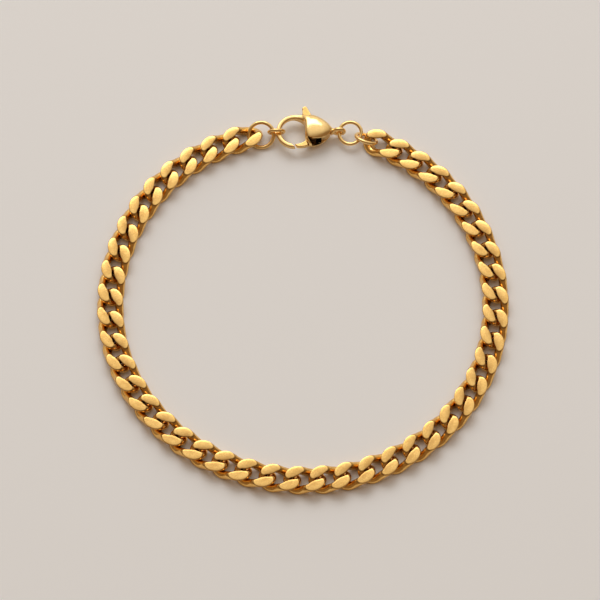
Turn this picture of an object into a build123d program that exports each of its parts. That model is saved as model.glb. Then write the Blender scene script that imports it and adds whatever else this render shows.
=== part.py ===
from build123d import *
import math
import os

# Curb link bracelet, lying closed on a flat surface with its clasp at the far side (+Y)
# Lengths are in millimetres and angles in degrees

# Link wire, and the proportions of one link over the wire diameter
wire_diameter = 1.4
pitch_share = 2.9737         # from the middle of one link to the next
end_play_share = 0.193       # free travel between two links along the chain
half_width_share = 1.106     # from the middle of a link to the middle of an arm's wire
flat_share = 1.43            # thickness between the two flats that are cut on a link
end_slope = 44.4             # slope of the wire where it crosses the end of the link
arm_slope = 40.8             # slope of the wire where it crosses the middle of an arm
bend_share = 0.2437          # tangent length of the second bend over that of the first
facet_inner_shares = [(0.357, -0.800), (1.036, -0.300), (1.857, 0.010)]
facet_middle_shares = (1.357, -0.893)
facet_depth_share = 0.2      # depth of the widened part of a flat
link_count = 44

# Loop of the chain: clock angle from the near side, and radius as a share of the loop's
clasp_gap = 24.57            # stretch of the loop that the clasp and its rings take up
route_points = [
    (225.2, 1.0022), (255.1, 1.0049), (284.9, 1.0093), (314.8, 1.0068), (344.9, 0.9975),
    (375.1, 0.9923), (405.2, 0.9969), (435.1, 1.0062), (464.9, 1.0031), (494.8, 1.0043),
]
clasp_distance_share = 0.9784

# Rings: diameter of the wire, and radius to its middle
end_ring_wire = 0.65
end_ring_radius = 2.15
connector_wire = 0.58
connector_radius = 1.30
jump_ring_wire = 0.62
jump_ring_radius = 1.93
upright_ring_wire = 0.60
upright_ring_radius = 1.863

# Places from the middle of the clasp, with the height above the surface
end_ring_place = (-7.133, -0.473, 1.135)
connector_place = (-4.514, -0.108, 1.579)
last_link_place = (-10.37, -1.15)
last_link_angle = 17.62

# Places from the end of the clasp's dome, with the height above the surface
eye_place = (0.76, -0.03)
jump_ring_place = (2.714, -0.343, 1.582)
upright_ring_place = (5.471, -1.433, 1.670)
first_link_place = (8.365, -2.435)
first_link_angle = -25.35

# Lean of each ring
end_ring_angles = (21.5, -3.8)
connector_angles = (12.0, 2.1)
jump_ring_angles = (12.3, -2.8)
upright_ring_rise_angle = 43.1
upright_ring_angle = -24.2

# Clasp: the hook's bar, the tip cut and the eye
clasp_height = 3.2
hook_middle = (-1.42, -0.15)
hook_radius = 2.72           # to the middle of the bar
hook_bar_width = 0.80
hook_bar_height = 0.95
bar_rounding = 0.25
hook_tip_angle = 266.7
tip_cut_angle = -49.6
gate_tip_angle = 276.0
gate_tip_width = 0.66
eye_radius = 0.87
eye_wire = 0.72

# Domed body of the clasp, from the middle of the clasp to the eye
dome_length = 5.5
dome_half_width = 2.86
# Each section: place over the length, middle and half width over the half width, height over the full height
dome_section_shares = [
    (0.091, 0.165, 0.84, 0.88), (0.182, 0.045, 0.98, 0.96), (0.327, 0.030, 1.00, 1.00),
    (0.527, 0.014, 0.86, 0.96), (0.715, 0.010, 0.62, 0.83), (0.845, 0.007, 0.38, 0.60),
    (0.927, -0.003, 0.21, 0.37), (1.000, -0.010, 0.105, 0.19),
]
section_corner_shares = (0.86, 0.62)     # where the upper and lower arcs meet the side arcs
lip_shares = [(0.130, -0.480), (0.382, -0.634), (0.900, -0.117)]
strap_shares = [(0.350, -1.060), (0.205, -0.735)]
rim_shares = [(0.195, -0.612), (0.4545, -0.675), (0.718, -0.332)]
hollow_shares = [(0.745, -0.120), (0.600, 0.105), (0.195, 0.105)]
# Root of the hook inside the dome: place and middle as above, width over the half width, height over the full
root_section_shares = [(-0.055, 0.825, 0.34, 0.60), (0.127, 0.70, 0.50, 0.64)]
hook_root_angle = 96
hook_steps = 8

# Lever's outline, clockwise from its gate, over the length and the half width of the dome
inner_edge_shares = [(-0.064, -0.825), (0.082, -0.671)]
arm_shares = [(0.167, -0.332), (0.160, 0.524), (0.045, 0.909), (-0.009, 1.063), (-0.004, 1.364)]
thumb_shares = [(0.076, 1.615), (0.156, 1.486)]
back_shares = [(0.291, 0.997), (0.473, -0.332)]
hub_arc_angles = (270, 225)
outer_edge_shares = [(0.178, -0.735), (0.175, -0.990)]
outer_bulge_shares = (0.006, -1.085)

# Lever, its pin, and the room inside the body
lever_thickness = 0.80
lever_swing_angle = 25
pin_place = (1.75, -0.95)
pin_radius = 0.35
pin_clearance = 0.03         # between the pin and the lever
pin_foot = 0.22              # height of the pin's lower end above the surface
pin_length = 2.63
hub_radius = 0.78
hub_height = 1.6
slot_clearance = 0.15        # between the lever and the body, above, below and beside
shell_edge = 0.9             # height of the lower shell's edge on the near side

wire_radius = wire_diameter / 2
link_pitch = pitch_share * wire_diameter
link_half_length = (link_pitch + wire_diameter + end_play_share * wire_diameter) / 2
link_half_width = half_width_share * wire_diameter
chain_thickness = flat_share * wire_diameter
loop_radius = ((link_count - 1) * link_pitch + clasp_gap) / (2 * math.pi)
clasp_y = loop_radius * clasp_distance_share
clasp_z = clasp_height / 2
pieces = []


def finish(name, part):
    """Give a finished piece its name and keep it for the export."""
    part.label = name
    pieces.append(part)


def level_way(heading):
    """Unit vector in the level plane."""
    return Vector(math.cos(math.radians(heading)), math.sin(math.radians(heading)), 0)


def on_clasp(place, height=0):
    """Point given from the middle of the clasp."""
    plan_x, plan_y, *own_height = tuple(place)
    return Vector(plan_x, clasp_y + plan_y, height or sum(own_height))


def past_dome(place, height=0):
    """Point given from the end of the clasp's dome."""
    return on_clasp(place, height) + Vector(dome_length, 0, 0)


def bend_joint(start, start_way, end, end_way):
    """Point where two arcs meet that lead from start to end and are tangent to each other."""
    reach = end - start
    way = start_way + end_way * bend_share
    square = way.dot(way) - (1 + bend_share) ** 2
    along = reach.dot(way)
    first = (along - math.sqrt(along**2 - square * reach.dot(reach))) / square
    if first < 0:
        first = (along + math.sqrt(along**2 - square * reach.dot(reach))) / square
    second = first * bend_share
    near = start + start_way * first
    far = end - end_way * second
    return (near * second + far * first) / (first + second)


# One link: a closed wire of eight arcs, twisted so that the chain lies flat, with two flats
end_point = Vector(link_half_length, 0, 0)
arm_point = Vector(0, link_half_width, 0)
end_drop = math.radians(end_slope)
arm_rise = math.radians(arm_slope)
end_way = Vector(0, math.cos(end_drop), -math.sin(end_drop))
arm_way = Vector(-math.cos(arm_rise), 0, math.sin(arm_rise))
joint_point = bend_joint(end_point, end_way, arm_point, arm_way)

with BuildLine() as link_quarter:
    end_bend = TangentArc(end_point, joint_point, tangent=end_way)
    TangentArc(joint_point, arm_point, tangent=end_bend % 1)

with BuildLine() as link_half:
    add(link_quarter.line)
    add(link_quarter.line.rotate(Axis.Y, 180))

# Each flat is widened towards the middle of the link, up to a nearly straight inner edge
with BuildPart() as facet:
    with BuildSketch(Plane.XY.offset(chain_thickness / 2)):
        with BuildLine():
            inner_points = [Vector(*shares) * wire_diameter for shares in facet_inner_shares]
            inner_side = ThreePointArc(*inner_points)
            ThreePointArc(inner_side @ 1, Vector(*facet_middle_shares) * wire_diameter, inner_side @ 0)
        make_face()
    extrude(amount=-facet_depth_share * wire_diameter)

with BuildPart() as link_blank:
    with BuildSketch(Plane(origin=end_point, z_dir=end_way)):
        Circle(wire_radius)
    sweep(path=link_half.line)
    add(facet.part.rotate(Axis.X, 180))
    add(facet.part.rotate(Axis.Z, 180))
    add(link_blank.part.rotate(Axis.Z, 180))
    Box(4 * link_half_length, 4 * link_half_length, chain_thickness, mode=Mode.INTERSECT)

# The chain: links at even steps along one smooth route between its two end links
with BuildLine() as route:
    loop_points = [
        Vector(-math.sin(math.radians(clock)), -math.cos(math.radians(clock)), 0) * loop_radius * share
        for clock, share in route_points
    ]
    Spline(
        [past_dome(first_link_place)] + loop_points + [on_clasp(last_link_place)],
        tangents=[level_way(first_link_angle), level_way(last_link_angle)],
        tangent_scalars=[1, 1],
    )

for number in range(link_count):
    spot = route.line @ (number / (link_count - 1))
    way = route.line % (number / (link_count - 1))
    stand = Plane(origin=spot + Vector(0, 0, chain_thickness / 2), x_dir=way, z_dir=(0, 0, 1))
    with BuildPart() as link:
        with Locations(stand.location):
            add(link_blank.part)
    finish(f"link_{number + 1:02d}", link.part)


def ring(name, spot, axis_way, radius, wire):
    """Closed ring of round wire."""
    with BuildPart() as loop:
        with Locations(Plane(origin=spot, z_dir=axis_way).location):
            Torus(radius, wire / 2)
    finish(name, loop.part)


def flat_axis(leans):
    """Axis of a ring that lies nearly flat, leaning about X and about Y."""
    about_x, about_y = (math.radians(lean) for lean in leans)
    return Vector(math.sin(about_y), -math.sin(about_x), math.cos(about_x) * math.cos(about_y))


ring("end_ring", on_clasp(end_ring_place), flat_axis(end_ring_angles), end_ring_radius, end_ring_wire)
ring("jump_ring", past_dome(jump_ring_place), flat_axis(jump_ring_angles), jump_ring_radius, jump_ring_wire)

back_lean, side_lean = (math.radians(lean) for lean in connector_angles)
connector_axis = Vector(math.sin(side_lean), -math.cos(back_lean), -math.sin(back_lean))
ring("connector_ring", on_clasp(connector_place), connector_axis, connector_radius, connector_wire)

ring_way = level_way(upright_ring_angle)
near_way = level_way(upright_ring_angle - 90)
rise_way = Vector(0, 0, 1) * math.cos(math.radians(upright_ring_rise_angle))
rise_way += near_way * math.sin(math.radians(upright_ring_rise_angle))
upright_axis = ring_way.cross(rise_way)
ring("upright_ring", past_dome(upright_ring_place), upright_axis, upright_ring_radius, upright_ring_wire)

# Lever: gate that closes the hook, hub round the pin, and thumb piece beyond the body
hook_spot = on_clasp(hook_middle, clasp_z)
pin_spot = on_clasp(pin_place, clasp_z)


def on_hook(angle, radius):
    """Point at an angle and a radius from the middle of the hook's opening."""
    return hook_spot + level_way(angle) * radius


cut_way = level_way(tip_cut_angle)
cut_side = level_way(tip_cut_angle + 90)
gate_face = on_hook(gate_tip_angle, hook_radius)
gate_inner = gate_face - cut_way * gate_tip_width / 2
gate_outer = gate_face + cut_way * gate_tip_width / 2


def on_dome(shares):
    """Plan point in the clasp's own plane, from shares of the dome's length and half width."""
    return Vector(shares[0] * dome_length, shares[1] * dome_half_width)


clasp_plane = Plane(origin=(0, clasp_y, clasp_z))
pin_plan = Vector(*pin_place)

with BuildSketch(Plane(origin=(0, clasp_y, clasp_z - lever_thickness / 2))) as lever_outline:
    with BuildLine():
        gate_start = clasp_plane.to_local_coords(gate_inner)
        gate_end = clasp_plane.to_local_coords(gate_outer)
        inner_edge = ThreePointArc(gate_start, *(on_dome(spot) for spot in inner_edge_shares))
        arm_edge = Polyline(inner_edge @ 1, *(on_dome(spot) for spot in arm_shares))
        thumb_tip = ThreePointArc(arm_edge @ 1, *(on_dome(spot) for spot in thumb_shares))
        back_edge = Polyline(thumb_tip @ 1, *(on_dome(spot) for spot in back_shares))
        hub_low, hub_side = (pin_plan + level_way(angle) * hub_radius for angle in hub_arc_angles)
        hub_edge = ThreePointArc(back_edge @ 1, hub_low, hub_side)
        outer_edge = Polyline(hub_edge @ 1, *(on_dome(spot) for spot in outer_edge_shares))
        gate_edge = ThreePointArc(outer_edge @ 1, on_dome(outer_bulge_shares), gate_end)
        Line(gate_edge @ 1, inner_edge @ 0)
    make_face()

with BuildPart() as lever:
    add(lever_outline.sketch)
    extrude(amount=lever_thickness)
    with Locations(pin_spot):
        Cylinder(hub_radius, hub_height)
        Cylinder(pin_radius + pin_clearance, hub_height, mode=Mode.SUBTRACT)
finish("clasp_lever", lever.part)

with BuildPart() as pin:
    with Locations(on_clasp(pin_place, pin_foot + pin_length / 2)):
        Cylinder(pin_radius, pin_length)
finish("clasp_pin", pin.part)


def bar_plane(angle):
    """Plane across the hook's bar at an angle round the opening."""
    return Plane(origin=on_hook(angle, hook_radius), x_dir=level_way(angle), z_dir=level_way(angle + 90))


# Clasp body: hollow dome, hook and eye in one piece
with BuildPart() as dome:
    for along, middle, width_share, height_share in dome_section_shares:
        half_width = dome_half_width * width_share
        half_height = clasp_z * height_share
        corner_y = half_width * section_corner_shares[0]
        corner_z = half_height * section_corner_shares[1]
        place = on_clasp(on_dome((along, middle)), clasp_z)
        section = Plane(origin=place, x_dir=(0, 1, 0), z_dir=(1, 0, 0))
        with BuildSketch(section):
            with BuildLine():
                ThreePointArc((-corner_y, corner_z), (0, half_height), (corner_y, corner_z))
                ThreePointArc((corner_y, corner_z), (half_width, 0), (corner_y, -corner_z))
                ThreePointArc((corner_y, -corner_z), (0, -half_height), (-corner_y, -corner_z))
                ThreePointArc((-corner_y, -corner_z), (-half_width, 0), (-corner_y, corner_z))
            make_face()
    loft()

# The hook runs from past its tip to inside the dome, and is then cut off slanting at the tip
with BuildPart() as hook:
    far_angle = hook_tip_angle + 12
    for step in range(hook_steps + 1):
        angle = far_angle + (hook_root_angle - far_angle) * step / hook_steps
        with BuildSketch(bar_plane(angle)):
            RectangleRounded(hook_bar_width, hook_bar_height, bar_rounding)
    for along, middle, width_share, height_share in root_section_shares:
        place = on_clasp(on_dome((along, middle)), clasp_z)
        with BuildSketch(Plane(origin=place, x_dir=(0, -1, 0), z_dir=(-1, 0, 0))):
            RectangleRounded(dome_half_width * width_share, clasp_height * height_share, bar_rounding)
    loft()
    tip_cut = Plane(origin=on_hook(hook_tip_angle, hook_radius), x_dir=cut_way, z_dir=cut_side)
    with Locations(tip_cut.location):
        cut_off = 2 * hook_bar_width
        Box(cut_off, cut_off, cut_off, align=(Align.CENTER, Align.CENTER, Align.MIN), mode=Mode.SUBTRACT)

# Room that the lever sweeps as it opens, with clearance all round
with BuildSketch(Plane.XY.offset(clasp_z - lever_thickness / 2 - slot_clearance)) as swept_room:
    for step in range(6):
        turned = lever_outline.sketch.rotate(Axis(pin_spot, (0, 0, 1)), -lever_swing_angle * step / 5)
        add(Pos(0, 0, -clasp_z + lever_thickness / 2) * turned)
    offset(amount=slot_clearance)

with BuildPart() as body:
    add(dome.part)
    add(hook.part)
    with Locations(Plane(origin=past_dome(eye_place, clasp_z), z_dir=(0, 1, 0)).location):
        Torus(eye_radius, eye_wire / 2)
    extrude(swept_room.sketch, amount=lever_thickness + 2 * slot_clearance, mode=Mode.SUBTRACT)
    # Near side cut back above the lower shell, with a strap left standing over the gate
    with BuildSketch(Plane(origin=(0, clasp_y, shell_edge))) as lip_cut:
        with BuildLine():
            lip = ThreePointArc(*(on_dome(spot) for spot in lip_shares))
            strap_end, strap_bend = (on_dome(spot) for spot in strap_shares)
            strap_edge = ThreePointArc(strap_end, strap_bend, lip @ 0)
            far_side = Vector(0, -dome_half_width)
            Polyline(lip @ 1, lip @ 1 + far_side, strap_end + far_side, strap_end)
        make_face()
    extrude(lip_cut.sketch, amount=clasp_height, mode=Mode.SUBTRACT)
    # Hollow for the hub, with clearance above and below it
    hollow_height = hub_height + 2 * slot_clearance
    with BuildSketch(Plane(origin=(0, clasp_y, clasp_z - hollow_height / 2))) as hollow:
        with BuildLine():
            rim = ThreePointArc(*(on_dome(spot) for spot in rim_shares))
            Polyline(rim @ 1, *(on_dome(spot) for spot in hollow_shares), rim @ 0)
        make_face()
        with Locations(pin_place):
            Circle(hub_radius + slot_clearance)
    extrude(hollow.sketch, amount=hollow_height, mode=Mode.SUBTRACT)
    # Blind bore for the pin, open below
    with Locations(on_clasp(pin_place, (pin_foot + pin_length) / 2)):
        Cylinder(pin_radius, pin_foot + pin_length, mode=Mode.SUBTRACT)
finish("clasp_body", body.part)

# Middle of the loop's outline moved onto the origin; the links already stand on the surface
outer_box = pieces[0].bounding_box()
for piece in pieces[1:]:
    outer_box = outer_box.add(piece.bounding_box())
middle = outer_box.center()
shift = Location((-middle.X, -middle.Y, 0))

os.makedirs("parts", exist_ok=True)
for piece in pieces:
    export_step(piece.moved(shift), f"parts/{piece.label}.step")
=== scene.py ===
import math

import bpy
import numpy as np
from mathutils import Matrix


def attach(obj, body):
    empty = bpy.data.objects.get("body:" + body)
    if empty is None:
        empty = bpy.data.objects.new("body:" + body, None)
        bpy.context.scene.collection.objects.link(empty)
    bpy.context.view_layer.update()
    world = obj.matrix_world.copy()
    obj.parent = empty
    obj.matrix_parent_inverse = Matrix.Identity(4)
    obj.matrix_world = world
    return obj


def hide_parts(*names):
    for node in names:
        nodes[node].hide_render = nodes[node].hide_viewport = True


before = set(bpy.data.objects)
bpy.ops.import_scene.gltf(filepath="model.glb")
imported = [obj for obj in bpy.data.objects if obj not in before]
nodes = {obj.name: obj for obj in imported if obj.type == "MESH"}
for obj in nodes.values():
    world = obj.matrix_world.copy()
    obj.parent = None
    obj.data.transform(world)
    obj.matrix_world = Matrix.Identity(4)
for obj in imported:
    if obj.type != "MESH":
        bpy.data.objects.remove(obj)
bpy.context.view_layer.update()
mm = 0.001
print("frame loaded")


# Shared mesh code

def unit(vectors):
    # Each vector over its own length
    return vectors / np.linalg.norm(vectors, axis=-1, keepdims=True)


def meshPiece(name, points, faces, values=None):
    # points in millimetres; values are named numbers at each point
    mesh = bpy.data.meshes.new(name)
    mesh.vertices.add(len(points))
    mesh.vertices.foreach_set("co", (points * mm).astype(np.float32).ravel())
    mesh.loops.add(faces.size)
    mesh.loops.foreach_set("vertex_index", faces.astype(np.int32).ravel())
    mesh.polygons.add(len(faces))
    mesh.polygons.foreach_set("loop_start", np.arange(0, faces.size, faces.shape[1], dtype=np.int32))
    mesh.polygons.foreach_set("use_smooth", np.ones(len(faces), dtype=bool))
    mesh.update(calc_edges=True)
    for key, numbers in (values or {}).items():
        attribute = mesh.attributes.new(key, "FLOAT", "POINT")
        attribute.data.foreach_set("value", numbers.astype(np.float32).ravel())
    mesh.validate()
    piece = bpy.data.objects.new(name, mesh)
    bpy.context.collection.objects.link(piece)
    return piece


def closedGrid(rows, columns, alongColumns):
    # Quads of a grid that closes both ways, each wound from its first corner along the columns or the rows
    i, k = np.meshgrid(np.arange(rows), np.arange(columns), indexing="ij")
    nextRow, nextColumn = (i + 1) % rows, (k + 1) % columns
    corners = [(i, k), (i, nextColumn), (nextRow, nextColumn), (nextRow, k)]
    if not alongColumns:
        corners[1], corners[3] = corners[3], corners[1]
    return np.stack([row * columns + column for row, column in corners], axis=-1).reshape(-1, 4)


def smoothStep(t):
    # 3 t^2 - 2 t^3 between 0 and 1
    t = np.clip(t, 0, 1)
    return t * t * (3 - 2 * t)


def standOf(node):
    # Middle of a solid's box, and its main axes, longest first, from the second moments of its surface:
    # for each triangle its area / 12 times (aa + bb + cc + tt), where t = a + b + c
    mesh = node.data
    points = np.empty(len(mesh.vertices) * 3)
    mesh.vertices.foreach_get("co", points)
    points = points.reshape(-1, 3) / mm
    mesh.calc_loop_triangles()
    corners = np.empty(len(mesh.loop_triangles) * 3, dtype=np.int32)
    mesh.loop_triangles.foreach_get("vertices", corners)
    a, b, c = (points[corners.reshape(-1, 3)[:, k]] for k in range(3))
    area = np.linalg.norm(np.cross(b - a, c - a), axis=1) / 2
    middle = (points.min(axis=0) + points.max(axis=0)) / 2
    a, b, c = a - middle, b - middle, c - middle
    total = a + b + c
    spread = sum(np.einsum("n,ni,nj->ij", area, way, way) for way in (a, b, c, total)) / 12
    axes = np.linalg.eigh(spread)[1]
    return middle, axes[:, ::-1].T


# One link: the same centre line as the solid, eight arcs, with its two flats softly rounded off
linkForm = {
    "wireRadius": 0.7, "halfLength": 2.9169, "halfWidth": 1.5484,
    "endSlope": 44.4, "armSlope": 40.8, "bendShare": 0.2437,  # slopes of the wire in degrees
    "endSteps": 17, "armSteps": 13, "sideSteps": 12, "flatSteps": 8,  # along the arcs and round the wire
    "flatHeight": 1.001, "crown": 0.11, "edgeRound": 0.022, "borderLimits": (-0.9, 0.985),
    "widen": 0.32, "widenFrom": 0.45, "widenDepth": 0.28, "widenEase": 0.08, "widenFull": 0.9,
    "flatEase": 0.03, "lineDrop": 0.04, "lineWidth": 0.075,  # masks of the ground face and of its border
}


def arcPoints(start, way, end, count):
    # Circle arc from start, tangent to way, to end: R sin t along way plus R (1 - cos t) across it
    reach = end - start
    length = np.linalg.norm(reach)
    lean = math.acos(reach @ way / length)
    across = unit(reach / length - way * math.cos(lean))
    radius = length / (2 * math.sin(lean))
    turn = np.linspace(0, 2 * lean, count)[:, None]
    return start + radius * (np.sin(turn) * way + (1 - np.cos(turn)) * across)


def linkLine(form):
    # Two arcs make a quarter. Their tangents from both ends are t and t times bendShare long, and meet the
    # joint's own tangent: t comes from |far - near| = t (1 + share), a quadratic
    slope, rise = math.radians(form["endSlope"]), math.radians(form["armSlope"])
    end, endWay = np.array([form["halfLength"], 0, 0]), np.array([0, math.cos(slope), -math.sin(slope)])
    arm, armWay = np.array([0, form["halfWidth"], 0]), np.array([-math.cos(rise), 0, math.sin(rise)])
    share = form["bendShare"]
    reach, way = arm - end, endWay + armWay * share
    square, along = way @ way - (1 + share) ** 2, reach @ way
    root = math.sqrt(along ** 2 - square * (reach @ reach))
    first = min((t for t in ((along - root) / square, (along + root) / square) if t > 0))
    near, far = end + endWay * first, arm - armWay * first * share
    joint = (near * share + far) / (1 + share)
    bendWay = unit(far - near)
    quarter = np.vstack([arcPoints(end, endWay, joint, form["endSteps"])[:-1],
                         arcPoints(joint, bendWay, arm, form["armSteps"])])
    # The other three quarters are half turns of the first about Y, Z and X
    back = quarter[::-1]
    return np.vstack([part[:-1] for part in (
        quarter, back * [-1, 1, -1], quarter * [-1, -1, 1], back * [1, -1, -1])])


def linkShape(form):
    # A round profile carried along the line, then eased onto two flats, which are crowned and widened
    line = linkLine(form)
    way = unit(np.roll(line, -1, axis=0) - np.roll(line, 1, axis=0))
    side = unit(np.cross([0, 0, 1.0], way))
    top = np.cross(way, side)
    # Each flat is very slightly crowned: it keeps a share of the wire's roundness above its border
    radius, crown, soft = form["wireRadius"], form["crown"], form["edgeRound"]
    height = (form["flatHeight"] - crown * (np.abs(line[:, 2]).max() + radius)) / (1 - crown)
    # Angles round each section, with rows of points on the borders of the upper and lower flat
    upper, lower = (
        np.arcsin(np.clip((height - rise) / (radius * top[:, 2]), *form["borderLimits"]))[:, None]
        for rise in (line[:, 2], -line[:, 2]))
    easeSide, easeFlat = (
        (1 - np.cos(np.pi * np.arange(steps) / steps)) / 2
        for steps in (form["sideSteps"], form["flatSteps"]))
    angles = np.hstack([
        -lower + (upper + lower) * easeSide, upper + (np.pi - 2 * upper) * easeFlat,
        np.pi - upper + (upper + lower) * easeSide, np.pi + lower + (np.pi - 2 * lower) * easeFlat,
    ])
    # Point at section angle a: r cos a to the side and r sin a up from the middle of the wire
    outWay = np.cos(angles)[..., None] * side[:, None] + np.sin(angles)[..., None] * top[:, None]
    points = line[:, None] + radius * outWay
    # Height eased onto the flat: z - (1 - c) k log(1 + exp((z - h) / k)), above and below alike
    full = points[..., 2].copy()
    size = np.abs(full)
    points[..., 2] = np.sign(full) * (size - (1 - crown) * soft * np.logaddexp(0, (size - height) / soft))
    # The flats are widened inwards: most at the top of each bend, over a small depth below the flat
    bend, ease = np.abs(line[:, 2]), form["widenEase"]
    most = form["widen"] * smoothStep((bend - form["widenFrom"]) / (bend.max() - form["widenFrom"]))
    near = smoothStep((np.abs(points[..., 2]) - height + form["widenDepth"] + ease) / (2 * ease))
    near = near * (np.sign(points[..., 2]) == np.sign(line[:, 2])[:, None])
    inwards = np.clip(np.cos(angles) / form["widenFull"], 0, 1)
    points = points + side[:, None] * (most[:, None] * near * inwards)[..., None]
    over = size - height
    flat = 1 / (1 + np.exp(-np.clip(over / form["flatEase"], -30, 30)))
    # Band just below each flat's border, where the gold paints a dark line of shade
    edge = np.exp(-((over + form["lineDrop"]) / form["lineWidth"]) ** 2)
    # Sides that face the middle of the link, where the next links sit and the gold paints their shade
    middleWay = unit(line * [1, 1, 0] + 1e-9)
    inner = np.clip(-(outWay * middleWay[:, None]).sum(axis=2), 0, 1)
    values = {"flat": flat, "edge": edge, "inner": inner}
    return points.reshape(-1, 3), closedGrid(*angles.shape, True), values


linkPoints, linkFaces, linkValues = linkShape(linkForm)
chainLinks = []
for name in sorted(key for key in nodes if key.startswith("link_")):
    middle, axes = standOf(nodes[name])
    forward = unit(axes[0] * [1, 1, 0])
    turn = np.array([forward, [-forward[1], forward[0], 0], [0, 0, 1]])
    chainLinks.append(meshPiece(f"chain_{name}", linkPoints @ turn + middle, linkFaces, linkValues))
    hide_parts(name)
    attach(chainLinks[-1], "bracelet")
print("links", len(chainLinks), "points each", len(linkPoints))


# Rings of round wire, where the solid rings are: radius of the ring, then of its wire
ringForm = {
    "end_ring": (2.15, 0.325), "connector_ring": (1.30, 0.29),
    "jump_ring": (1.93, 0.31), "upright_ring": (1.863, 0.30),
}


def ringShape(middle, axis, radius, wire, around=144, across=36):
    # Point at turn t and section angle p: (R + r cos p) out along the ring's plane, r sin p along its axis
    axis = axis * (1 if axis[2] > 0 else -1)
    noAxis = [0.0, 1.0, 0.05]  # a way that no ring's axis has
    first = unit(np.cross(noAxis, axis))
    second = np.cross(axis, first)
    turn = np.linspace(0, 2 * np.pi, around, endpoint=False)[:, None, None]
    section = np.linspace(0, 2 * np.pi, across, endpoint=False)[None, :, None]
    out = np.cos(turn) * first + np.sin(turn) * second
    points = middle + (radius + wire * np.cos(section)) * out + wire * np.sin(section) * axis
    return points.reshape(-1, 3), closedGrid(around, across, False)


claspPieces = []
for name, (radius, wire) in ringForm.items():
    middle, axes = standOf(nodes[name])
    ring = meshPiece(f"wire_{name}", *ringShape(middle, axes[2], radius, wire))
    claspPieces.append(ring)
    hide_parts(name)
    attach(ring, "bracelet")
print("rings")


# Clasp, from distances in millimetres to its surface
# Plan is measured from the clasp's middle, +X towards the eye, and height from the floor
claspForm = {
    "middleHeight": 1.6, "blend": 0.60, "softEdge": 0.07, "rimEdge": 0.08, "slopeStep": 0.05, "step": 0.05,
    # Hook: a bar round part of a circle, with the gate beyond its slanted tip
    "hookMiddle": (-1.42, -0.15), "hookRadius": 2.72, "barHalf": (0.40, 0.475), "barRound": 0.30,
    "tipAngle": 266.7, "tipCutAngle": -49.6, "gateAngle": 276.0, "gateHalf": 0.33,
    # Root of the hook, by places along the clasp
    "rootStart": -2.1, "rootEase": 0.9, "rootEnd": 0.9, "rootEdge": 0.1,
    "rootPlaces": (-2.2, -1.7, -1.0, -0.3, 0.3, 0.9),
    "rootMiddles": (2.456, 2.550, 2.53, 2.37, 2.15, 1.95),
    "rootWidths": (0.40, 0.40, 0.42, 0.50, 0.62, 0.72),
    "rootHeights": (0.475, 0.50, 0.62, 0.80, 0.96, 1.05),
    # Dome, by places along the clasp: half widths and half heights of its sections
    "domeStart": 0.43, "domeEnd": 5.50, "domeEdge": 0.42, "endEdge": 0.1, "fullness": 2.45, "steepest": 3,
    "domePlaces": (0.50, 1.00, 1.80, 2.90, 3.93, 4.65, 5.10, 5.50),
    "domeMiddles": (0.472, 0.129, 0.086, 0.040, 0.029, 0.020, -0.009, -0.029),
    "domeWidths": (2.402, 2.803, 2.86, 2.46, 1.773, 1.087, 0.601, 0.300),
    "domeHeights": (1.408, 1.536, 1.60, 1.536, 1.328, 0.960, 0.592, 0.304),
    "eyeMiddle": (6.26, -0.03), "eyeRadius": 0.87, "eyeWire": 0.36, "eyeBlend": 0.3,
    # Room inside: the crescent above the shell, cut past lip and strap, and the hollow in the shell
    "shellEdge": 0.9, "lip": ((0.715, -1.373), (2.10, -1.813), (4.95, -0.335)),
    "strap": ((1.925, -3.032), (1.128, -2.102)), "cutReach": 4,
    "rim": ((1.073, -1.750), (2.500, -1.931), (3.949, -0.950)),
    "hollow": ((4.098, -0.343), (3.300, 0.300), (1.073, 0.300)), "hollowHalf": 0.95,
    "pin": (1.75, -0.95), "pinRadius": 0.35, "pinTop": 2.85, "pinMiddle": 1.535,
}
leverForm = {
    "half": 0.40, "round": 0.17, "swing": 25, "swingSteps": 9, "clearance": 0.15, "step": 0.04,
    "hubRadius": 0.78, "hubHalf": 0.80, "hubEdge": 0.1, "hubAngles": (270, 225),
    "holeRadius": 0.38, "holeEdge": 0.04,
    # Outline in plan: the gate's inner side, the thumb piece, its back and the gate's outer side
    "inner": ((-0.352, -2.360), (0.451, -1.919)),
    "arm": ((0.919, -0.950), (0.880, 1.499), (0.248, 2.600), (-0.050, 3.040), (-0.022, 3.901)),
    "thumb": ((0.418, 4.619), (0.858, 4.250)),
    "back": ((1.601, 2.851), (2.602, -0.950)),
    "outer": ((0.979, -2.102), (0.963, -2.831)), "bulge": (0.033, -3.103),
}


def softMax(a, b, blend):
    # Larger of the two, with (blend - |a - b|)^2 / (4 blend) on top where they are nearly equal
    return np.maximum(a, b) + np.maximum(blend - np.abs(a - b), 0) ** 2 / (4 * blend)


def softMin(a, b, blend):
    return -softMax(-a, -b, blend)


def roundedEdge(a, b, radius):
    # Edge where two faces meet, rounded, from the distances past each face
    u, v = a + radius, b + radius
    return np.hypot(np.maximum(u, 0), np.maximum(v, 0)) + np.minimum(np.maximum(u, v), 0) - radius


def smoothTable(x, places, values):
    # Cubic Hermite curve through a table, with each slope from the points on both sides
    places, values = np.array(places), np.array(values)
    slopes = np.gradient(values, places)
    k = np.clip(np.searchsorted(places, x) - 1, 0, len(places) - 2)
    width = places[k + 1] - places[k]
    t = np.clip((x - places[k]) / width, 0, 1)
    rise = (t ** 3 - 2 * t ** 2 + t) * slopes[k] + (t ** 3 - t ** 2) * slopes[k + 1]
    return values[k] + (3 * t ** 2 - 2 * t ** 3) * (values[k + 1] - values[k]) + rise * width


def levelWay(angle):
    # Direction in plan at an angle in degrees from +X
    return np.array([math.cos(math.radians(angle)), math.sin(math.radians(angle))])


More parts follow.
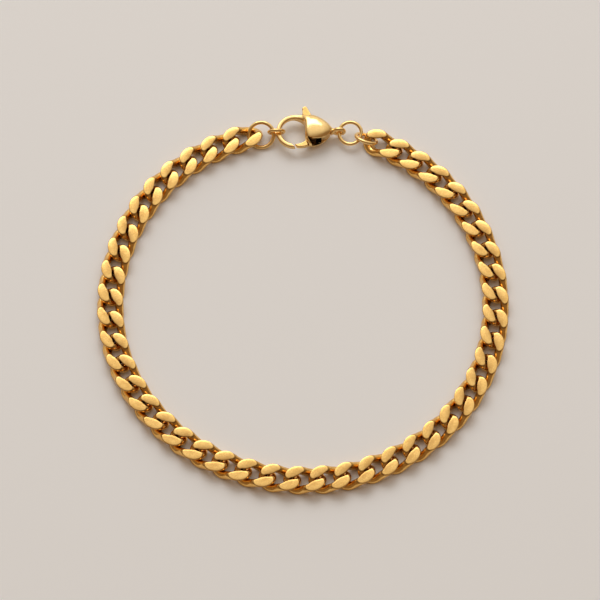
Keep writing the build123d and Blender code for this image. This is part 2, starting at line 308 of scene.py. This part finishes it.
def threeArc(start, middle, end, count=16):
    # Circle through three points in plan, whose middle solves 2 (q - p) . c = q.q - p.p for two pairs
    a, b, c = (np.array(point, dtype=float) for point in (start, middle, end))
    centre = np.linalg.solve(2 * np.array([b - a, c - a]), [b @ b - a @ a, c @ c - a @ a])
    radius = np.linalg.norm(a - centre)
    first, second, third = (math.atan2(*(point - centre)[::-1]) for point in (a, b, c))
    toEnd = (third - first) % (2 * math.pi)
    if (second - first) % (2 * math.pi) > toEnd:
        toEnd -= 2 * math.pi
    turn = first + toEnd * np.linspace(0, 1, count)[:, None]
    return centre + radius * np.hstack([np.cos(turn), np.sin(turn)])


def outlineDistance(x, y, corners):
    # Distance in plan from a closed outline, below zero inside it
    nearest = np.full(np.broadcast(x, y).shape, np.inf)
    inside = np.zeros(nearest.shape, dtype=bool)
    for (ax, ay), (bx, by) in zip(corners, np.roll(corners, -1, axis=0)):
        dx, dy = bx - ax, by - ay
        t = np.clip(((x - ax) * dx + (y - ay) * dy) / (dx * dx + dy * dy), 0, 1)
        nearest = np.minimum(nearest, (x - ax - t * dx) ** 2 + (y - ay - t * dy) ** 2)
        if dy:
            inside ^= ((ay > y) != (by > y)) & (x < ax + (y - ay) * dx / dy)
    return np.sqrt(nearest) * np.where(inside, -1, 1)


def planTable(function, low, high, step=0.02):
    # Distances in plan kept on a fine grid and read between its points
    xs, ys = np.arange(low[0], high[0], step), np.arange(low[1], high[1], step)
    table = function(xs[:, None], ys[None, :])

    def read(x, y):
        u = np.clip((x - low[0]) / step, 0, len(xs) - 1.001)
        v = np.clip((y - low[1]) / step, 0, len(ys) - 1.001)
        i, j = u.astype(int), v.astype(int)
        u, v = u - i, v - j
        near = table[i, j] * (1 - v) + table[i, j + 1] * v
        return near * (1 - u) + (table[i + 1, j] * (1 - v) + table[i + 1, j + 1] * v) * u

    return read


def fromPin(x, y):
    # Distance in plan from the pin's axis
    return np.hypot(x - claspForm["pin"][0], y - claspForm["pin"][1])


def leverOutline(form, clasp):
    # From the face that meets the hook's tip, all round the lever and back to that face
    face = np.array(clasp["hookMiddle"]) + levelWay(clasp["gateAngle"]) * clasp["hookRadius"]
    across = levelWay(clasp["tipCutAngle"]) * clasp["gateHalf"]
    pin = np.array(clasp["pin"])
    hubLow, hubSide = (pin + levelWay(angle) * form["hubRadius"] for angle in form["hubAngles"])
    return np.vstack([
        threeArc(face - across, *form["inner"]), form["arm"], threeArc(form["arm"][-1], *form["thumb"])[1:],
        form["back"], threeArc(form["back"][-1], hubLow, hubSide)[1:], form["outer"],
        threeArc(form["outer"][-1], form["bulge"], face + across)[1:],
    ])


outline = leverOutline(leverForm, claspForm)


def sweptRoom(x, y):
    # Nearest of the lever's outlines as it opens, less the clearance
    pinX, pinY = claspForm["pin"]
    nearest = np.inf
    for angle in np.radians(np.linspace(0, leverForm["swing"], leverForm["swingSteps"])):
        u, v = x - pinX, y - pinY
        turnedX = pinX + u * math.cos(angle) - v * math.sin(angle)
        turnedY = pinY + u * math.sin(angle) + v * math.cos(angle)
        nearest = np.minimum(nearest, outlineDistance(turnedX, turnedY, outline))
    return nearest - leverForm["clearance"]


def lipRegion(x, y):
    # Plan region in front of the dome's lip and of the strap over the gate
    lip = threeArc(*claspForm["lip"])
    strapEnd, strapBend = claspForm["strap"]
    strap = threeArc(strapEnd, strapBend, claspForm["lip"][0])[:-1]
    far = np.array([lip[-1], strapEnd]) - [0, claspForm["cutReach"]]
    return outlineDistance(x, y, np.vstack([strap, lip, far]))


def hollowRegion(x, y):
    # Plan region of the hollow in the shell, with the room round the lever's hub
    room = outlineDistance(x, y, np.vstack([threeArc(*claspForm["rim"]), claspForm["hollow"]]))
    return np.minimum(room, fromPin(x, y) - leverForm["hubRadius"] - leverForm["clearance"])


# Corners of a plan that holds the whole clasp
planBox = ((-4.9, -3.7), (7.8, 3.4))
sweptAt, lipAt, hollowAt = (planTable(region, *planBox) for region in (sweptRoom, lipRegion, hollowRegion))


def domeSection(x, side, rise):
    # Distance to an oval section (y / w)^p + (z / h)^p = 1: the root of that sum, less 1, over its slope
    form = claspForm
    middle, width, height = (smoothTable(x, form["domePlaces"], form[key])
                             for key in ("domeMiddles", "domeWidths", "domeHeights"))
    fullness = form["fullness"]
    across, up = np.abs(side - middle) / width, np.abs(rise) / height
    size = np.maximum((across ** fullness + up ** fullness) ** (1 / fullness), 1e-6)
    slope = np.hypot((across / size) ** (fullness - 1) / width, (up / size) ** (fullness - 1) / height)
    return (size - 1) / slope


def slopeAlong(curve, x):
    # Slope of a function of x, from its values a short step to both sides
    step = claspForm["slopeStep"]
    return (curve(x + step) - curve(x - step)) / (2 * step)


def domeField(x, y, rise):
    # Distance across each section, over the slope of the surface along the dome, with both ends closed
    form = claspForm
    slope = slopeAlong(lambda place: domeSection(place, y, rise), x)
    slope = np.clip(slope, -form["steepest"], form["steepest"])
    dome = domeSection(x, y, rise) / np.sqrt(1 + slope ** 2)
    dome = softMax(dome, form["domeStart"] - x, form["domeEdge"])
    return softMax(dome, x - form["domeEnd"], form["endEdge"])


def hookField(x, y, rise):
    # A bar of rounded section round a circle, whose root leaves the circle, widens and rises into the dome
    form = claspForm
    hookX, hookY = form["hookMiddle"]

    def rootAt(place, key):
        return smoothTable(place, form["rootPlaces"], form[key])

    slope = slopeAlong(lambda place: rootAt(place, "rootMiddles"), x)
    fromRoot = (y - rootAt(x, "rootMiddles")) / np.sqrt(1 + slope ** 2)
    fromCircle = np.hypot(x - hookX, y - hookY) - form["hookRadius"]
    share = smoothStep((x - form["rootStart"]) / form["rootEase"]) * (y > hookY)
    across = np.abs(fromCircle * (1 - share) + fromRoot * share)
    halfWidth, halfHeight = (
        half + (rootAt(x, key) - half) * (y > hookY)
        for half, key in zip(form["barHalf"], ("rootWidths", "rootHeights")))
    corner = form["barRound"] * halfWidth / form["barHalf"][0]
    hook = roundedEdge(across - halfWidth, np.abs(rise) - halfHeight, corner)
    tip = np.array(form["hookMiddle"]) + levelWay(form["tipAngle"]) * form["hookRadius"]
    cutX, cutY = levelWay(form["tipCutAngle"] + 90)
    past = (x - tip[0]) * cutX + (y - tip[1]) * cutY
    hook = softMax(hook, np.where(y < hookY, past, -1.0), form["softEdge"])
    return softMax(hook, x - form["rootEnd"], form["rootEdge"])


def wholeField(x, y, z):
    # The body before the lever's room is cut out of it: dome, hook, and eye, a torus about an axis along Y
    form = claspForm
    rise = z - form["middleHeight"]
    eyeX, eyeY = form["eyeMiddle"]
    eye = np.hypot(np.hypot(x - eyeX, rise) - form["eyeRadius"], y - eyeY) - form["eyeWire"]
    body = softMin(domeField(x, y, rise), hookField(x, y, rise), form["blend"])
    return softMin(body, eye, form["eyeBlend"])


def bodyField(x, y, z):
    # Cut out in turn: the lever's swing, the crescent above the shell, the hollow and the pin's bore
    form = claspForm
    rise = np.abs(z - form["middleHeight"])
    room = softMax(sweptAt(x, y), rise - leverForm["half"] - leverForm["clearance"], form["softEdge"])
    crescent = softMax(lipAt(x, y), form["shellEdge"] - z, form["rimEdge"])
    hollow = softMax(hollowAt(x, y), rise - form["hollowHalf"], form["rimEdge"])
    body = wholeField(x, y, z)
    for region, edge in ((room, form["softEdge"]), (crescent, form["rimEdge"]), (hollow, form["softEdge"])):
        body = softMax(body, -region, edge)
    bore = np.maximum(fromPin(x, y) - form["pinRadius"], z - form["pinTop"])
    return np.maximum(body, -bore)


def leverField(x, y, z):
    # A plate over the outline, with a hub and the hole for the pin
    form = leverForm
    rise = np.abs(z - claspForm["middleHeight"])
    plate = roundedEdge(outlineDistance(x, y, outline), rise - form["half"], form["round"])
    hub = softMax(fromPin(x, y) - form["hubRadius"], rise - form["hubHalf"], form["hubEdge"])
    return softMax(softMin(plate, hub, form["hubEdge"]), form["holeRadius"] - fromPin(x, y), form["holeEdge"])


# How points are set on a surface, and how far its bend is felt, in millimetres
surfaceForm = {"rounds": 3, "slopeStep": 0.01, "leastSlope": 0.2, "bendReach": 0.06}


cellCorners = [(i, j, k) for i in (0, 1) for j in (0, 1) for k in (0, 1)]
gridWays = np.eye(3, dtype=int)


def crossedCells(inside):
    # Cells of the grid that the surface passes through, and a grid that holds the number of each
    nx, ny, nz = (count - 1 for count in inside.shape)
    count = sum(inside[i:i + nx, j:j + ny, k:k + nz].astype(np.int8) for i, j, k in cellCorners)
    cells = np.argwhere((count > 0) & (count < len(cellCorners)))
    number = np.full(count.shape, -1)
    number[tuple(cells.T)] = np.arange(len(cells))
    return cells, number


def cellPoints(value, cells):
    # One point in each cell: the mean of the places where the surface crosses the cell's edges
    total, hits = np.zeros((len(cells), 3)), np.zeros((len(cells), 1))
    for axis in range(3):
        for corner in cellCorners:
            if corner[axis]:
                continue
            start = cells + corner
            end = start + gridWays[axis]
            a, b = value[tuple(start.T)], value[tuple(end.T)]
            crossed = ((a < 0) != (b < 0))[:, None]
            share = (a / np.where(a == b, 1, a - b))[:, None]
            total += np.where(crossed, start + (end - start) * share, 0)
            hits += crossed
    return total / hits


def cellFaces(inside, number):
    # One face across each grid edge that the surface crosses, through the four cells round that edge
    faces = []
    for axis in range(3):
        crossed = inside != np.roll(inside, -1, axis=axis)
        crossed[tuple(slice(-1, None) if k == axis else slice(None) for k in range(3))] = False
        spots = np.argwhere(crossed)
        first, second = gridWays[(axis + 1) % 3], gridWays[(axis + 2) % 3]
        around = [spots - first - second, spots - second, spots, spots - first]
        quads = np.stack([number[tuple(cell.T)] for cell in around], axis=1)
        outwards = inside[tuple(spots.T)][:, None]
        faces.append(np.where(outwards, quads, quads[:, ::-1]))
    return np.vstack(faces)


def setOnSurface(field, points, most):
    # Each point moves by the distance over its slope, along that slope
    ways = np.eye(3) * surfaceForm["slopeStep"]
    for _ in range(surfaceForm["rounds"]):
        slope = np.stack([field(*(points + way).T) - field(*(points - way).T) for way in ways], axis=1)
        slope /= 2 * surfaceForm["slopeStep"]
        steep = np.maximum((slope ** 2).sum(axis=1), surfaceForm["leastSlope"])
        points = points - slope * np.clip(field(*points.T) / steep, -most, most)[:, None]
    return points


def surfaceOf(field, low, high, step):
    # Points, faces and bend of the surface on which the field is zero, inside a box
    axes = [np.arange(start, end + step, step) for start, end in zip(low, high)]
    value = field(axes[0][:, None, None], axes[1][None, :, None], axes[2][None, None, :])
    cells, number = crossedCells(value < 0)
    points = setOnSurface(field, np.array(low) + cellPoints(value, cells) * step, step / 2)
    # Bend of the surface, from the second differences of the distance: above zero on outer edges
    reach = surfaceForm["bendReach"]
    bend = sum(field(*(points + way).T) for way in np.vstack([np.eye(3), -np.eye(3)]) * reach) / reach ** 2
    return points, cellFaces(value < 0, number), bend


# Masks of the clasp's surfaces, from bend or depth: where each starts, and over how much it rises to 1
# inner and cavity mark where the gold paints shade: concave creases, and the rooms cut into the body
claspMarks = {"edge": (1.5, 8), "inner": (1.0, 8), "cavity": (0.25, 0.22), "flat": (-0.05, 0.04)}


def shareOf(mark, numbers):
    # (number - start) / rise, held between 0 and 1
    start, rise = claspMarks[mark]
    return np.clip((numbers - start) / rise, 0, 1)


claspOrigin = standOf(nodes["clasp_pin"])[0] - [*claspForm["pin"], claspForm["pinMiddle"]]
for name, field, low, high, step in (
    ("clasp_body", bodyField, (-4.8, -3.5, -0.1), (7.7, 3.2, 3.3), claspForm["step"]),
    ("clasp_lever", leverField, (-1.6, -3.3, 0.6), (2.8, 4.8, 2.6), leverForm["step"]),
):
    points, faces, bend = surfaceOf(field, low, high, step)
    overFlat = np.abs(points[:, 2] - claspForm["middleHeight"]) - leverForm["half"]
    piece = meshPiece(f"shaped_{name}", points + claspOrigin, faces, {
        "edge": shareOf("edge", bend), "inner": shareOf("inner", -bend),
        "cavity": smoothStep(shareOf("cavity", -wholeField(*points.T))),
        "flat": smoothStep(shareOf("flat", overFlat)) * (name == "clasp_lever"),
    })
    claspPieces.append(piece)
    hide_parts(name)
    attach(piece, "bracelet" if name == "clasp_body" else "lever")
    print(name, "points", len(points), "faces", len(faces))


# Materials
# Patterns that both golds use: scales of noise, turn and detail, and the part of the noise that shows
patternForm = {
    "grainDetail": 4, "grainLarge": 900, "grainBump": 0.00003, "grainRange": (0.75, 1.25),
    "marksDetail": 3, "marksTurn": 0.6, "marksRange": (0.52, 0.72),
    "recessScale": 700, "recessRange": (0.3, 0.7, 0.7, 1.1),
}


def newGroup(name, inputs, outputs):
    # Inputs are numbers with their first values, outputs are labels with their kinds
    group = bpy.data.node_groups.new(name, "ShaderNodeTree")
    for label, value in inputs:
        group.interface.new_socket(label, in_out="INPUT", socket_type="NodeSocketFloat").default_value = value
    for label, kind in outputs:
        group.interface.new_socket(label, in_out="OUTPUT", socket_type=kind)
    return group, group.nodes.new("NodeGroupInput"), group.nodes.new("NodeGroupOutput")


def addNode(tree, kind, **values):
    # Values of two words, such as From_Min, are given with an underscore
    node = tree.nodes.new(f"ShaderNode{kind}")
    for label, value in values.items():
        node.inputs[label.replace("_", " ")].default_value = value
    return node


def mathNode(tree, kind, operation):
    node = addNode(tree, kind)
    node.operation = operation
    return node


def mapRange(tree, low, high, start=0.0, end=1.0):
    # Smooth ramp from start at low to end at high
    node = addNode(tree, "MapRange", From_Min=low, From_Max=high, To_Min=start, To_Max=end)
    node.interpolation_type = "SMOOTHSTEP"
    return node


def join(tree, *pairs):
    # Each pair is an output and the input that it feeds
    for output, entry in pairs:
        tree.links.new(output, entry)


def openSocket(sockets, label):
    # A mix node has sockets of every kind under the same labels: only those in use are enabled
    return next(socket for socket in sockets if socket.name == label and socket.enabled)


def fineGrain():
    # Grain of a tumbled surface at two sizes: a normal for the small one, a mask for both
    group, start, end = newGroup(
        "fineGrain", [("Scale", 5200.0), ("Depth", 0.2)],
        [("Normal", "NodeSocketVector"), ("Mask", "NodeSocketFloat")])
    place = addNode(group, "TexCoord").outputs["Object"]
    small = addNode(group, "TexNoise", Detail=patternForm["grainDetail"])
    large = addNode(group, "TexNoise", Scale=patternForm["grainLarge"])
    bump = addNode(group, "Bump", Distance=patternForm["grainBump"])
    both = mathNode(group, "Math", "ADD")
    spread = mapRange(group, *patternForm["grainRange"])
    join(group,
         (place, small.inputs["Vector"]), (place, large.inputs["Vector"]),
         (start.outputs["Scale"], small.inputs["Scale"]), (small.outputs["Fac"], bump.inputs["Height"]),
         (start.outputs["Depth"], bump.inputs["Strength"]), (small.outputs["Fac"], both.inputs[0]),
         (large.outputs["Fac"], both.inputs[1]), (both.outputs["Value"], spread.inputs["Value"]),
         (bump.outputs["Normal"], end.inputs["Normal"]), (spread.outputs["Result"], end.inputs["Mask"]))
    return group


def polishMarks():
    # Fine marks left by polishing: noise drawn out along one direction
    group, start, end = newGroup(
        "polishMarks", [("Scale", 1500.0), ("Stretch", 12.0)], [("Mask", "NodeSocketFloat")])
    place = addNode(group, "TexCoord").outputs["Object"]
    turn = addNode(group, "VectorRotate", Angle=patternForm["marksTurn"])
    turn.rotation_type = "Z_AXIS"
    size = addNode(group, "CombineXYZ", X=1, Z=1)
    drawn = mathNode(group, "VectorMath", "MULTIPLY")
    noise = addNode(group, "TexNoise", Detail=patternForm["marksDetail"])
    spread = mapRange(group, *patternForm["marksRange"])
    join(group,
         (place, turn.inputs["Vector"]), (start.outputs["Stretch"], size.inputs["Y"]),
         (turn.outputs["Vector"], drawn.inputs[0]), (size.outputs["Vector"], drawn.inputs[1]),
         (drawn.outputs["Vector"], noise.inputs["Vector"]), (start.outputs["Scale"], noise.inputs["Scale"]),
         (noise.outputs["Fac"], spread.inputs["Value"]), (spread.outputs["Result"], end.inputs["Mask"]))
    return group


def recessShading():
    # Painted shade in the recesses: the inner sides, broken up by soft noise
    group, start, end = newGroup(
        "recessShading", [("Inner", 0.0), ("Amount", 1.0)], [("Mask", "NodeSocketFloat")])
    place = addNode(group, "TexCoord").outputs["Object"]
    noise = addNode(group, "TexNoise", Scale=patternForm["recessScale"])
    uneven = mapRange(group, *patternForm["recessRange"])
    broken, scaled = (mathNode(group, "Math", "MULTIPLY") for _ in range(2))
    scaled.use_clamp = True
    join(group,
         (place, noise.inputs["Vector"]), (noise.outputs["Fac"], uneven.inputs["Value"]),
         (start.outputs["Inner"], broken.inputs[0]), (uneven.outputs["Result"], broken.inputs[1]),
         (broken.outputs["Value"], scaled.inputs[0]), (start.outputs["Amount"], scaled.inputs[1]),
         (scaled.outputs["Value"], end.inputs["Mask"]))
    return group


grain, marks, recess = fineGrain(), polishMarks(), recessShading()

# shade is the grain's second colour; the recess colour is painted shade in the recesses, the cavity colour is
# painted shade in the clasp's cavity, and line is the borders' colour: a painted dark line of shade below
# each chain flat, and on the clasp its worn edges
chainFinish = {
    "colour": (0.95, 0.59, 0.185), "shade": (0.82, 0.47, 0.13), "recessShade": (0.42, 0.225, 0.065),
    "flatColour": (0.93, 0.59, 0.20), "flatShade": (0.79, 0.47, 0.145), "cavityShade": (0.10, 0.04, 0.01),
    "line": (0.24, 0.11, 0.022), "lineShare": 0.85,
    "roughness": 0.16, "flatRoughness": 0.22, "marksRoughness": 0.07, "edge": 0.16,
    "grainDepth": 0.25, "recess": 0.85,
}
claspFinish = {
    "colour": (0.97, 0.68, 0.29), "shade": (0.93, 0.62, 0.24), "recessShade": (0.42, 0.18, 0.035),
    "flatColour": (0.88, 0.58, 0.21), "flatShade": (0.70, 0.44, 0.14), "cavityShade": (0.055, 0.022, 0.006),
    "line": (0.97, 0.68, 0.29), "lineShare": 0.5,
    "roughness": 0.13, "flatRoughness": 0.28, "marksRoughness": 0.07, "edge": 0.08,
    "grainDepth": 0.08, "recess": 0.6,
}


def gold(name, form):
    # Masks of the pieces: flat on ground faces, edge on their borders, inner on recessed sides, cavity inside
    material = bpy.data.materials.new(name)
    material.use_nodes = True
    tree = material.node_tree
    shader = tree.nodes["Principled BSDF"]
    shader.inputs["Metallic"].default_value = 1.0

    def group(source):
        node = addNode(tree, "Group")
        node.node_tree = source
        return node

    def attribute(label):
        node = addNode(tree, "Attribute")
        node.attribute_name = label
        return node.outputs["Fac"]

    def blend(factor, a, b, kind="FLOAT"):
        node = addNode(tree, "Mix")
        node.data_type = kind
        join(tree, (factor, node.inputs["Factor"]))
        for label, value in (("A", a), ("B", b)):
            socket = openSocket(node.inputs, label)
            if isinstance(value, bpy.types.NodeSocket):
                join(tree, (value, socket))
            else:
                socket.default_value = (*value, 1) if kind == "RGBA" else value
        return openSocket(node.outputs, "Result")

    texture, polish, recessMask = group(grain), group(marks), group(recess)
    texture.inputs["Depth"].default_value = form["grainDepth"]
    recessMask.inputs["Amount"].default_value = form["recess"]
    join(tree, (attribute("inner"), recessMask.inputs["Inner"]))
    bright = blend(attribute("flat"), form["colour"], form["flatColour"], "RGBA")
    shade = blend(attribute("flat"), form["shade"], form["flatShade"], "RGBA")
    shaded = blend(texture.outputs["Mask"], bright, shade, "RGBA")
    # Painted shade: recesses darkened towards the recess colour
    recessShaded = blend(recessMask.outputs["Mask"], shaded, form["recessShade"], "RGBA")
    # Painted shade: the cavity cut into the clasp darkened nearly to black
    hollow = blend(attribute("cavity"), recessShaded, form["cavityShade"], "RGBA")
    # Painted shade: a dark line below each chain flat's border; on the clasp the worn edges go back towards
    # the plain colour
    line = blend(attribute("edge"), 0.0, form["lineShare"])
    worn = blend(polish.outputs["Mask"], form["roughness"], form["roughness"] + form["marksRoughness"])
    ground = blend(attribute("flat"), worn, form["flatRoughness"])
    join(tree,
         (blend(line, hollow, form["line"], "RGBA"), shader.inputs["Base Color"]),
         (blend(attribute("edge"), ground, form["edge"]), shader.inputs["Roughness"]),
         (texture.outputs["Normal"], shader.inputs["Normal"]))
    return material


chainGold, claspGold = gold("chainGold", chainFinish), gold("claspGold", claspFinish)
for piece in chainLinks:
    piece.data.materials.append(chainGold)
nodes["clasp_pin"].data.materials.clear()
for piece in (*claspPieces, nodes["clasp_pin"]):
    piece.data.materials.append(claspGold)
print("materials")


# Floor, light and camera
room = {
    "floorSize": 3, "floorColour": (0.93, 0.935, 0.94), "floorRoughness": 0.7,
    "softElevation": 36, "softRange": (0.30, 0.98),
    "dimLight": (0.25, 0.17, 0.105), "brightLight": (1.06, 1.03, 0.98),
    "keyPlace": (-0.10, 0.68, 0.68), "keySize": (0.72, 0.44), "keyPower": 2.6,
    "distance": 0.66, "elevation": 67.0, "lens": 233.74, "target": (-0.00048, -0.00058, 0.001),
}
bpy.ops.mesh.primitive_plane_add(size=room["floorSize"], location=(0, 0, 0))
floor = bpy.context.object
floor.name = "floor"
floorMaterial = bpy.data.materials.new("floorMatt")
floorMaterial.use_nodes = True
floorShader = floorMaterial.node_tree.nodes["Principled BSDF"]
floorShader.inputs["Base Color"].default_value = (*room["floorColour"], 1)
floorShader.inputs["Roughness"].default_value = room["floorRoughness"]
floor.data.materials.append(floorMaterial)

# Soft light: brightest towards one direction, easing off to a dim and warmer surround
world = bpy.data.worlds.new("studio")
bpy.context.scene.world = world
world.use_nodes = True
skyTree = world.node_tree
towards = mathNode(skyTree, "VectorMath", "DOT_PRODUCT")
softRise = math.radians(room["softElevation"])
towards.inputs[1].default_value = (0, -math.cos(softRise), -math.sin(softRise))
falloff = mapRange(skyTree, *room["softRange"])
sky = addNode(skyTree, "Mix")
sky.data_type = "VECTOR"
openSocket(sky.inputs, "A").default_value = room["dimLight"]
openSocket(sky.inputs, "B").default_value = room["brightLight"]
join(skyTree,
     (addNode(skyTree, "NewGeometry").outputs["Incoming"], towards.inputs[0]),
     (towards.outputs["Value"], falloff.inputs["Value"]), (falloff.outputs["Result"], sky.inputs["Factor"]),
     (openSocket(sky.outputs, "Result"), skyTree.nodes["Background"].inputs["Color"]))

# One large lamp behind and above, facing the middle of the floor
light = bpy.data.lights.new("key_soft", "AREA")
light.shape = "RECTANGLE"
light.size, light.size_y = room["keySize"]
light.energy = room["keyPower"]
lamp = bpy.data.objects.new("key_soft", light)
bpy.context.collection.objects.link(lamp)
away = unit(np.array(room["keyPlace"]))
lamp.location = room["keyPlace"]
lamp.rotation_euler = (math.acos(away[2]), 0, math.atan2(away[0], -away[1]))

cameraData = bpy.data.cameras.new("photograph")
cameraData.lens = room["lens"]
camera = bpy.data.objects.new("photograph", cameraData)
bpy.context.collection.objects.link(camera)
tilt = math.radians(room["elevation"])
camera.location = np.array(room["target"]) + np.array([0, -math.cos(tilt), math.sin(tilt)]) * room["distance"]
camera.rotation_euler = (math.pi / 2 - tilt, 0, 0)
bpy.context.scene.camera = camera
bpy.context.scene.view_settings.view_transform = "Standard"
print("room")
